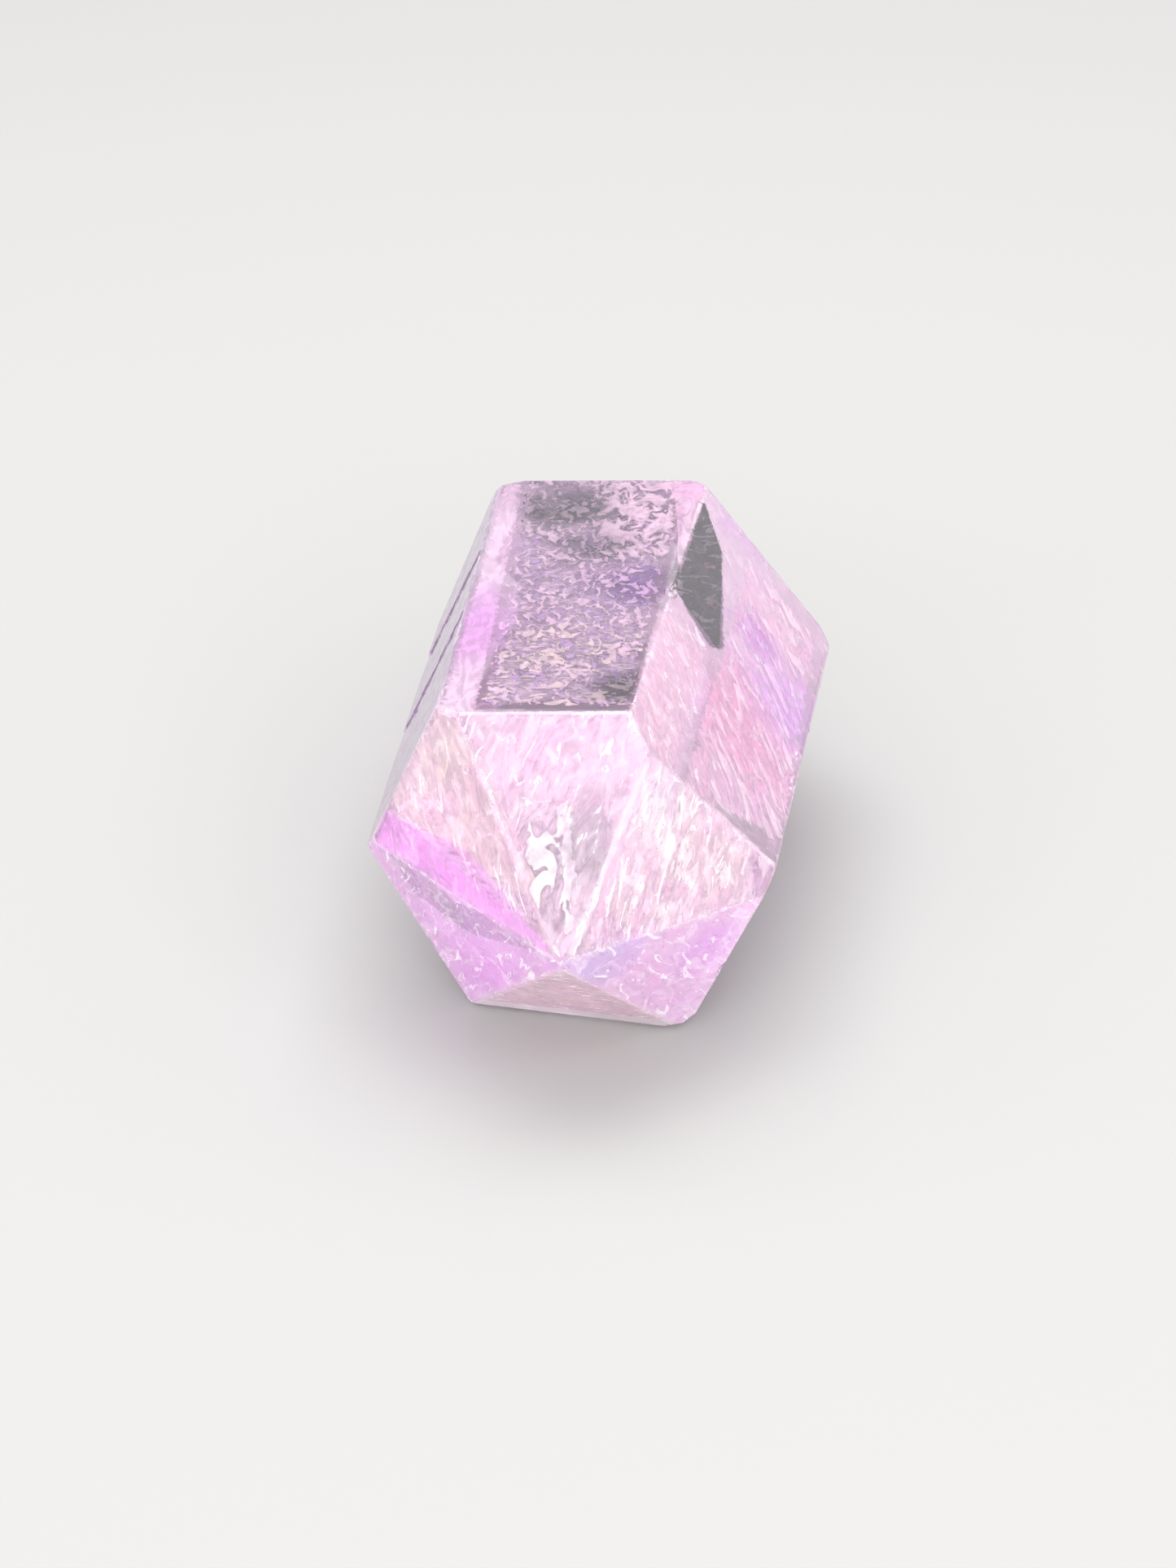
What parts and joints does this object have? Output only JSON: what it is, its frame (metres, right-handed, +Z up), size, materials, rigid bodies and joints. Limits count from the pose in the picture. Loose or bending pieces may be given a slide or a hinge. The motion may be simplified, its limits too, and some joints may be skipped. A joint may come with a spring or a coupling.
{
  "type": "double-terminated amethyst crystal",
  "caption": "Stout double-terminated quartz crystal, pale lilac and see-through, lying on one prism face.",
  "frame": {"origin": "on the surface that the crystal rests on, under the middle of its bounding box", "axes": "+Z up, the crystal's long axis along Y with the evenly shared tip towards -Y and the ridge-like tip towards +Y, +X to the right seen from the -Y end"},
  "size_m": [0.0436, 0.0906, 0.0359],
  "materials": {
    "amethyst": "clear pale lilac quartz with smooth worn faces and milky veils"
  },
  "bodies": {
    "root": {"amethyst_crystal": "amethyst"}
  },
  "joints": []
}
